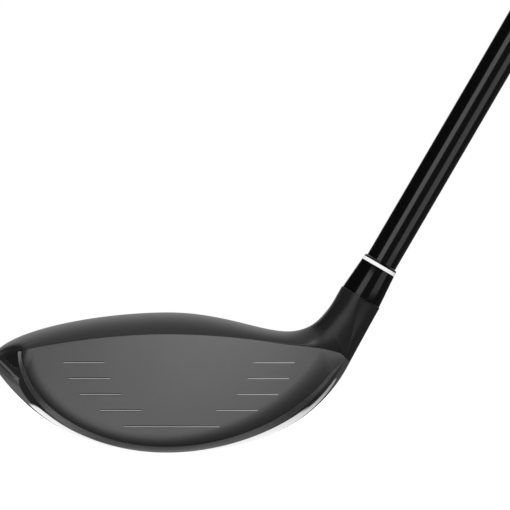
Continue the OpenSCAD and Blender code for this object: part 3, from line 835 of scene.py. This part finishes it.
# %% The thread tree
thread_start = 4.6
tree, given, result = new_tree("screw_thread", [
    ("Turns", "Float", 4.6), ("Pitch", "Float", 0.001), ("Radius", "Float", 0.0025),
    ("Ridge", "Float", 0.0004)])
sizes = given.outputs
climb = maths(tree, "MULTIPLY", sizes["Turns"], sizes["Pitch"])
helix = wire(tree, "GeometryNodeCurveSpiral", {
    "Resolution": 40, "Rotations": sizes["Turns"], "Start Radius": sizes["Radius"],
    "End Radius": sizes["Radius"], "Height": climb})
ridge = wire(tree, "GeometryNodeCurvePrimitiveCircle", {"Resolution": 3, "Radius": sizes["Ridge"]},
             mode="RADIUS")
thread = wire(tree, "GeometryNodeCurveToMesh", {
    "Curve": helix, "Profile Curve": ridge, "Fill Caps": True})
end_tree(tree, given, result, thread)
weight_thread = run_tree("weight_thread", tree, new_mesh("no_path"), Turns=4.2, Radius=0.00253,
                         Ridge=0.0004)
weight_thread.data.transform(in_metres(weight_frame, thread_start))

# %% [markdown]
# ## Finishes
# Every finish starts from one shared effect, a fine grain with slow clouds. Real paint, steel and
# rubber are never one flat number: the grain feeds the roughness and a very small bump, the clouds
# shift the colour a little. Each material sets its own scale, depth and colours. Image textures
# could do this too, but noise needs no UV map and has no seams.

# %% Shared effects: fine grain and scuffs
def new_effect(name, inputs, outputs):
    group = bpy.data.node_groups.new(name, "ShaderNodeTree")
    for label, value in inputs:
        socket = group.interface.new_socket(label, in_out="INPUT", socket_type="NodeSocketFloat")
        socket.default_value = value
    for label in outputs:
        group.interface.new_socket(label, in_out="OUTPUT", socket_type="NodeSocketFloat")
    where = wire(group, "ShaderNodeTexCoord").outputs["Object"]
    return group, where, group.nodes.new("NodeGroupInput"), group.nodes.new("NodeGroupOutput")


grain_group, where, given, result = new_effect(
    "fine_grain", [("Scale", 4000.0), ("Cloud Scale", 60.0)], ["Grain", "Cloud"])
fine = wire(grain_group, "ShaderNodeTexNoise", {"Vector": where, "Scale": given.outputs[0], "Detail": 3.0})
slow = wire(grain_group, "ShaderNodeTexNoise", {"Vector": where, "Scale": given.outputs[1], "Detail": 2.0})
grain_group.links.new(fine.outputs["Fac"], result.inputs["Grain"])
grain_group.links.new(slow.outputs["Fac"], result.inputs["Cloud"])

scuff_group, where, given, result = new_effect("scuffs", [("Scale", 300.0), ("Start", 0.62)], ["Scuff"])
drawn = wire(scuff_group, "ShaderNodeMapping", {
    "Vector": where, "Rotation": (0, 0, 0.35), "Scale": (1, 0.06, 1)})
streak = wire(scuff_group, "ShaderNodeTexNoise", {"Vector": drawn, "Scale": given.outputs[0], "Detail": 4.0})
mask = wire(scuff_group, "ShaderNodeMapRange", {
    "Value": streak.outputs["Fac"], "From Min": given.outputs[1], "From Max": 0.8})
scuff_group.links.new(mask.outputs[0], result.inputs["Scuff"])
print("effects:", grain_group.name, scuff_group.name)


# %% Helper: a finish
finishes = {}


def finish(name, dark, light, rough, grain, bump, cloud=60, **sockets):
    material = bpy.data.materials.new(name)
    material.use_nodes = True
    tree = material.node_tree
    shader = tree.nodes["Principled BSDF"]
    effect = wire(tree, "ShaderNodeGroup", {"Scale": grain, "Cloud Scale": cloud}, node_tree=grain_group)
    colour = wire(tree, "ShaderNodeMix", {
        "Factor": effect.outputs["Cloud"], 6: (*dark, 1), 7: (*light, 1)}, data_type="RGBA")
    tree.links.new(colour.outputs[2], shader.inputs["Base Color"])
    gloss = wire(tree, "ShaderNodeMapRange", {
        "Value": effect.outputs["Grain"], "From Min": 0.3, "From Max": 0.7, "To Min": rough[0],
        "To Max": rough[1]})
    tree.links.new(gloss.outputs[0], shader.inputs["Roughness"])
    relief = wire(tree, "ShaderNodeBump", {
        "Height": effect.outputs["Grain"], "Strength": 1.0, "Distance": bump})
    tree.links.new(relief.outputs[0], shader.inputs["Normal"])
    for label, value in sockets.items():
        shader.inputs[label.replace("_", " ")].default_value = value
    print(f"{name}: roughness {rough[0]} to {rough[1]}")
    finishes[name] = material
    return tree, shader, colour, gloss


def grey(level, tint=(1, 1, 1)):
    return tuple(level * t for t in tint)


# %% [markdown]
# ## Head finishes
# The crown and the neck share one charcoal satin paint. The face is dark satin steel, and the
# milled band on its lower edge is lighter, so the material reads the band's mark and mixes in a
# brighter steel there. That brighter steel is partly a real milled finish and partly a painted
# highlight, strongest at the toe. A second material on those faces would do too, but a mark can
# fade along the edge. The sole is polished, with faint scuffs from turf.

# %% Crown and neck paint
finish("head_paint", grey(0.011), grey(0.014, (1, 1, 1.02)), (0.28, 0.36), grain=5000, bump=1e-6)

# %% Face steel
tree, shader, colour, _ = finish("face_steel", grey(0.17), grey(0.185, (1, 1, 1.01)), (0.40, 0.48),
                                 grain=6000, bump=2e-6, Metallic=1.0)
# Painted highlight, partly real: the band's mark mixes white steel into the face colour, more at the toe
# than at the heel.
on_band_highlight = wire(tree, "ShaderNodeAttribute", attribute_name="band")
milled_and_highlight = wire(tree, "ShaderNodeMix", {
    "Factor": on_band_highlight.outputs["Fac"], 6: colour.outputs[2], 7: (*grey(1.0), 1)}, data_type="RGBA")
tree.links.new(milled_and_highlight.outputs[2], shader.inputs["Base Color"])

# %% Polished sole
worn_rough = 0.22
tree, shader, _, gloss = finish("polished_steel", grey(0.80, (0.99, 1, 1.01)), grey(0.86), (0.04, 0.08),
                                grain=3000, bump=2e-7, cloud=40, Metallic=1.0)
marks = wire(tree, "ShaderNodeGroup", {"Scale": 500, "Start": 0.66}, node_tree=scuff_group)
worn = wire(tree, "ShaderNodeMix", {"Factor": marks, 2: gloss, 3: worn_rough}, data_type="FLOAT")
tree.links.new(worn.outputs[0], shader.inputs["Roughness"])

# %% [markdown]
# ## The other finishes
# Gloss black for ferrule and shaft under a clear coat, dry rubber for the grip, turned steel for
# the weight, and plain honest materials for what is hidden inside. Each could be built by hand in
# the shader editor; one helper keeps them alike and easy to compare.

# %% Ferrule, shaft, score paint and grip
finish("ferrule_black", grey(0.0022), grey(0.003), (0.10, 0.16), grain=2500, bump=4e-7)
finish("ferrule_white", grey(0.93), grey(0.96), (0.3, 0.38), grain=2500, bump=1e-6)
finish("shaft_gloss", grey(0.0018), grey(0.003), (0.18, 0.26), grain=1800, bump=3e-7, cloud=300,
       Coat_Weight=1.0, Coat_Roughness=0.05, Specular_IOR_Level=0.2)
finish("score_paint", grey(0.33), grey(0.37), (0.5, 0.6), grain=6000, bump=4e-6)
finish("grip_rubber", grey(0.020), grey(0.030), (0.55, 0.72), grain=3500, bump=1e-5)

# %% Weight and inner pieces
finish("port_steel", grey(0.42), grey(0.5), (0.22, 0.32), grain=3000, bump=1e-6, Metallic=1.0)
finish("weight_steel", grey(0.30), grey(0.36), (0.26, 0.36), grain=3500, bump=1e-6, Metallic=1.0)
finish("washer_nylon", grey(0.72), grey(0.8), (0.45, 0.55), grain=2500, bump=2e-6)
finish("plug_plastic", grey(0.03), grey(0.045), (0.5, 0.6), grain=2500, bump=3e-6)
finish("epoxy", (0.42, 0.30, 0.12), (0.52, 0.38, 0.17), (0.2, 0.3), grain=1500, bump=2e-6)
finish("tip_brass", (0.62, 0.42, 0.14), (0.70, 0.50, 0.19), (0.25, 0.35), grain=3000, bump=1e-6,
       Metallic=1.0)
finish("tape_paper", (0.62, 0.56, 0.42), (0.72, 0.66, 0.52), (0.8, 0.9), grain=2500, bump=8e-6)

# %% [markdown]
# ## Dress and attach
# Each piece gets its finish, rides on its CAD body and hides the CAD nodes that it stands for.
# Pieces that stay hidden inside keep their CAD shape and get a finish only. Parenting by hand could
# do this too.

# %% Attach every piece
def attach(piece, body, slot, *nodes):
    piece.data.materials.clear()
    piece.data.materials.append(finishes[slot])
    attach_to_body(piece, body)
    if nodes:
        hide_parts(*nodes)
    print(f"{piece.name} rides on {body}, finish {slot}")


attach(crown_skin, "club", "head_paint", "crown_shell")
attach(neck_skin, "club", "head_paint", "hosel")
attach(sole_skin, "club", "polished_steel", "sole_body")
attach(face_plate, "club", "face_steel", "face_cup")
attach(score_paint, "club", "score_paint", "score_line_fill")
attach(ferrule_sleeve, "club", "ferrule_black", "ferrule_sleeve")
attach(ferrule_ring, "club", "ferrule_white", "ferrule_ring")
attach(ferrule_lip, "club", "ferrule_black", "ferrule_lip")
attach(shaft_tube, "club", "shaft_gloss", "shaft")
attach(grip_rubber, "club", "grip_rubber", "grip_sleeve")
attach(grip_pads, "club", "grip_rubber")
attach(grip_cap, "club", "grip_rubber", "grip_cap")
attach(weight_port, "club", "port_steel", "weight_port")
attach(weight_washer, "washer", "washer_nylon", "weight_washer")
attach(weight_screw, "weight", "weight_steel", "weight_screw")
attach(weight_thread, "weight", "weight_steel")
for node, name in (("bore_plug", "plug_plastic"), ("shaft_bond", "epoxy"), ("tip_weight", "tip_brass"),
                   ("grip_tape", "tape_paper")):
    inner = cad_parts[node].data.materials
    inner.clear()
    inner.append(finishes[name])
    print(f"{node} keeps its CAD shape, finish {name}")

# %% [markdown]
# ## Camera
# The club is seen square to the face, from three metres away through a long lens, so that it shows
# almost no perspective. An orthographic camera would show none at all, which looks drawn. The width
# of the view is given in metres, and the focal length follows from it.

# %% Camera
view_distance, view_width, view_x, view_z, sensor = 3.0, 0.1401, 0.0242, 0.0541, 36
lens = bpy.data.cameras.new("camera")
camera = put_object("camera", lens)
camera.location = (view_x, -view_distance, view_z)
camera.rotation_euler = (pi / 2, 0, 0)
lens.sensor_width, lens.lens = sensor, sensor * view_distance / view_width
lens.clip_end = 100
scene.camera = camera
print(f"camera: {lens.lens:.0f} mm lens")

# %% [markdown]
# ## White studio
# A catalogue picture has a white floor and a white surround. Both are white to the camera and pale
# to reflections, while the light that they cast stays at a plain level. The floor keeps the club's
# shadow and fades out at its rim. From below it lets the camera through, so that the sole can be
# looked at. A curved paper backdrop would do the same, but for one side only.

# %% White world
def blank(owner):
    owner.use_nodes = True
    owner.node_tree.nodes.clear()
    return owner.node_tree


plain_level, glossy_change, camera_change = 0.9, -0.28, 0.1
scene.world = bpy.data.worlds.new("white_studio")
tree = blank(scene.world)
path = wire(tree, "ShaderNodeLightPath").outputs
plain = maths(tree, "MULTIPLY_ADD", path["Is Glossy Ray"], glossy_change, plain_level)
level = maths(tree, "MULTIPLY_ADD", path["Is Camera Ray"], camera_change, plain)
both = wire(tree, "ShaderNodeBackground", {"Color": (1, 1, 1, 1), "Strength": level})
wire(tree, "ShaderNodeOutputWorld", {0: both})
print("world:", plain_level, "and", plain_level + camera_change, "to the camera")

# %% Floor
floor_x, floor_y, floor_r, floor_z, floor_sides = 0.25, 0.1, 1.6, -0.0001, 96
disc = [(floor_x + floor_r * cos(a), floor_y + floor_r * sin(a), floor_z)
        for a in np.linspace(0, 2 * pi, floor_sides, endpoint=False)]
floor = put_object("floor", new_mesh("floor", disc, [tuple(range(floor_sides))]))
floor_white = bpy.data.materials.new("floor_white")
tree = blank(floor_white)
place = wire(tree, "ShaderNodeTexCoord").outputs["Object"]
centred = wire(tree, "ShaderNodeVectorMath", {0: place, 1: (floor_x, floor_y, 0)}, operation="DISTANCE")
fade = wire(tree, "ShaderNodeMapRange", {
    "Value": centred.outputs["Value"], "From Min": 0.9, "From Max": 1.5})
path = wire(tree, "ShaderNodeLightPath").outputs
seen = maths(tree, "MAXIMUM", path["Is Camera Ray"], path["Is Glossy Ray"])
matte = wire(tree, "ShaderNodeBsdfDiffuse", {"Color": (0.8, 0.8, 0.8, 1)})
lift = wire(tree, "ShaderNodeEmission", {
    "Color": (1, 1, 1, 1), "Strength": maths(tree, "MULTIPLY", seen, 0.7)})
lit = wire(tree, "ShaderNodeAddShader", {0: matte, 1: lift})
clear = wire(tree, "ShaderNodeBsdfTransparent")
away = maths(tree, "MAXIMUM", fade, wire(tree, "ShaderNodeNewGeometry").outputs["Backfacing"])
mixed = wire(tree, "ShaderNodeMixShader", {0: away, 1: lit, 2: clear})
wire(tree, "ShaderNodeOutputMaterial", {0: mixed})
floor.data.materials.append(floor_white)
print("floor:", 2 * floor_r, "m across")

# %% [markdown]
# ## Cards for the reflections
# Gloss black only looks black when it mirrors something dark, and polished steel shows whatever
# stands round it. A photographer therefore sets dark and pale cards about the club. These are seen
# in reflections only, so they neither light the club nor show in the picture. One card lies on the
# floor, and its brightness is a value on each point of a fine grid: a bright pool under the sole
# with a dim rim before it, a fan beyond the toe and a beam beyond the heel. Many small cards could
# do that too, but soft edges between them are easier on a grid.

# %% Standing cards
def card(name, glow, mesh):
    board = put_object(name, mesh)
    paper = bpy.data.materials.new(name)
    tree = blank(paper)
    if isinstance(glow, str):
        glow = wire(tree, "ShaderNodeAttribute", attribute_name=glow).outputs["Fac"]
    shine = wire(tree, "ShaderNodeEmission", {"Color": (1, 1, 1, 1), "Strength": glow})
    wire(tree, "ShaderNodeOutputMaterial", {0: shine})
    board.data.materials.append(paper)
    board.visible_camera = board.visible_diffuse = board.visible_shadow = False
    board.visible_transmission = board.visible_volume_scatter = False
    print(f"{name}: {len(mesh.vertices)} points")


for name, glow, x0, y0, x1, y1, low, high in (
        ("card_front", 0.06, -0.9, -1.5, 1.4, -1.5, 0, 1.5),
        ("card_left", 0.012, -0.9, -1.5, -0.9, 2.0, 0, 1.6),
        ("card_left_back", 0.4, -0.89, 0.42, -0.89, 1.5, 0, 0.5),
        ("card_right", 0.02, 1.4, -1.5, 1.4, 0.4, 0, 2.4),
        ("card_right_high", 0.02, 0.5, -1.49, 1.4, -1.49, 1.4, 2.6)):
    corners = [(x0, y0, low), (x1, y1, low), (x1, y1, high), (x0, y0, high)]
    card(name, glow, new_mesh(name, corners, [(0, 1, 2, 3)]))

# %% A grid for the floor card
spans = (((-0.9, 1.4, 24), (-0.3, 0.45, 76), (-0.1, 0.1, 286)),
         ((-1.5, 2.0, 36), (-0.5, 0.1, 61), (-0.03, 0.08, 158)))
xs, ys = (np.unique(np.concatenate([np.linspace(*span) for span in spans_of])) for spans_of in spans)
gx, gy = np.meshgrid(xs, ys, indexing="ij")
black, dark, dim = 0.02, 0.03, 0.06


def patch(x, y, rx, ry, soft, power=2):
    reach = (np.abs((gx - x) / rx) ** power + np.abs((gy - y) / ry) ** power) ** (1 / power)
    return ramp(1 + soft - reach, 0, 2 * soft)


print("grid:", len(xs), "by", len(ys), "points")

# %% Glow beyond the toe
glow = np.where(gx < -0.05, black, dim)
toe_x, toe_y = -0.043 - gx, gy + 0.003
slant = toe_y / np.maximum(toe_x, 0.001)
far = ramp(toe_x, 0.085, 0.03)
fan = ramp(slant, 0.36 * far, 0.06) * ramp(toe_y, 0.0255, 0.004)
level = mix(0.13, 0.07, ramp(slant, 0.52, 0.1) * ramp(toe_x, 0.03, 0.02))
level = mix(level, dark, ramp(slant, 0.5, 0.04) * ramp(toe_x, 0.065, 0.015))
glow = mix(glow, level, fan * (toe_x > 0))
print(f"fan beyond the toe: glow {level.min():.2f} to {level.max():.2f}")

# %% Glow beyond the heel
beam_level = 0.85
glow = mix(glow, dark, patch(0.10, -0.05, 0.05, 0.04, 0.3))
slant = -gy / np.maximum(gx - shaft_foot * MM, 0.001)
beam = ramp(slant, 0.20, 0.06) * ramp(1.2 - slant, 0, 0.1)
glow = mix(glow, beam_level, beam * ramp(gx, 0.135, 0.025) * (gx < 0.45))
print("beam beyond the heel: glow", beam_level)

# %% Glow under the sole
ahead = gy + 0.013 - np.where(gx < 0, 6.9, 4.0) * gx ** 2
edge = mix(dim, 0.32, ramp(ahead, -0.0020, 0.0020) * ramp(1.6 - np.abs(gx) / 0.014, 0, 1))
strip = ramp(0.054 - np.abs(gx), 0, 0.004) * ramp(ahead, -0.006, 0.001)
glow = mix(glow, edge, strip)
pool = mix(1.0, 0.35, ramp(gx, 0.025, 0.045))
under = patch(0.014, 0.029, 0.066, 0.0415, 0.03, power=4) * ramp(ahead, -0.0006, 0.0020)
glow = mix(glow, pool, under)
glow = mix(glow, dark, patch(0.068, 0.004, 0.020, 0.016, 0.2))
print(f"pool under the sole: glow {pool.min():.2f} to {pool.max():.2f}")

# %% The floor card
card_z = -0.00005
rows, cols = gx.shape
points = np.stack([gx, gy, np.full(gx.shape, card_z)], -1).reshape(-1, 3)
faces = [(i * cols + j, (i + 1) * cols + j, (i + 1) * cols + j + 1, i * cols + j + 1)
         for i in range(rows - 1) for j in range(cols - 1)]
mesh = new_mesh("card_floor", points.tolist(), faces)
mesh.attributes.new("glow", "FLOAT", "POINT").data.foreach_set("value", glow.reshape(-1))
card("card_floor", "glow", mesh)

# %% [markdown]
# ## Soft boxes
# Two large lamps light the club. The key box stands high in front of it, for the face and the
# crown. The strip box stands at the left, and its mirror image runs down the shaft as one soft
# highlight. A lamp's power is worked out from its size and the brightness that it should show, so
# a box can grow without looking brighter. A sky texture would be simpler, but it has no edges.

# %% Soft boxes
def soft_box(name, place, target, width, height, radiance, roll=0.0):
    light = bpy.data.lights.new(name, "AREA")
    light.shape, light.size, light.size_y = "RECTANGLE", width, height
    light.energy = radiance * width * height * pi
    lamp = put_object(name, light)
    way = (Vector(target) - Vector(place)).to_track_quat("-Z", "Y")
    lamp.location, lamp.rotation_mode = place, "QUATERNION"
    lamp.rotation_quaternion = way @ Matrix.Rotation(roll, 3, "Z").to_quaternion()
    print(f"{name}: {light.energy:.2f} W")


club_point = Vector((0.075, 0, 0.09))
strip_place = club_point + Vector((-0.337, -0.92, 0.197))
soft_box("key_box", (0.16, -1.0, 0.80), (0.0, 0, 0.02), 0.40, 0.40, 3.3)
soft_box("strip_box", strip_place, club_point, 0.55, 0.40, 1.3, roll=radians(-30))

# %% [markdown]
# ## The last lines
# Standard view keeps a colour about as it was written.

# %% The last line
scene.view_settings.view_transform = "Standard"
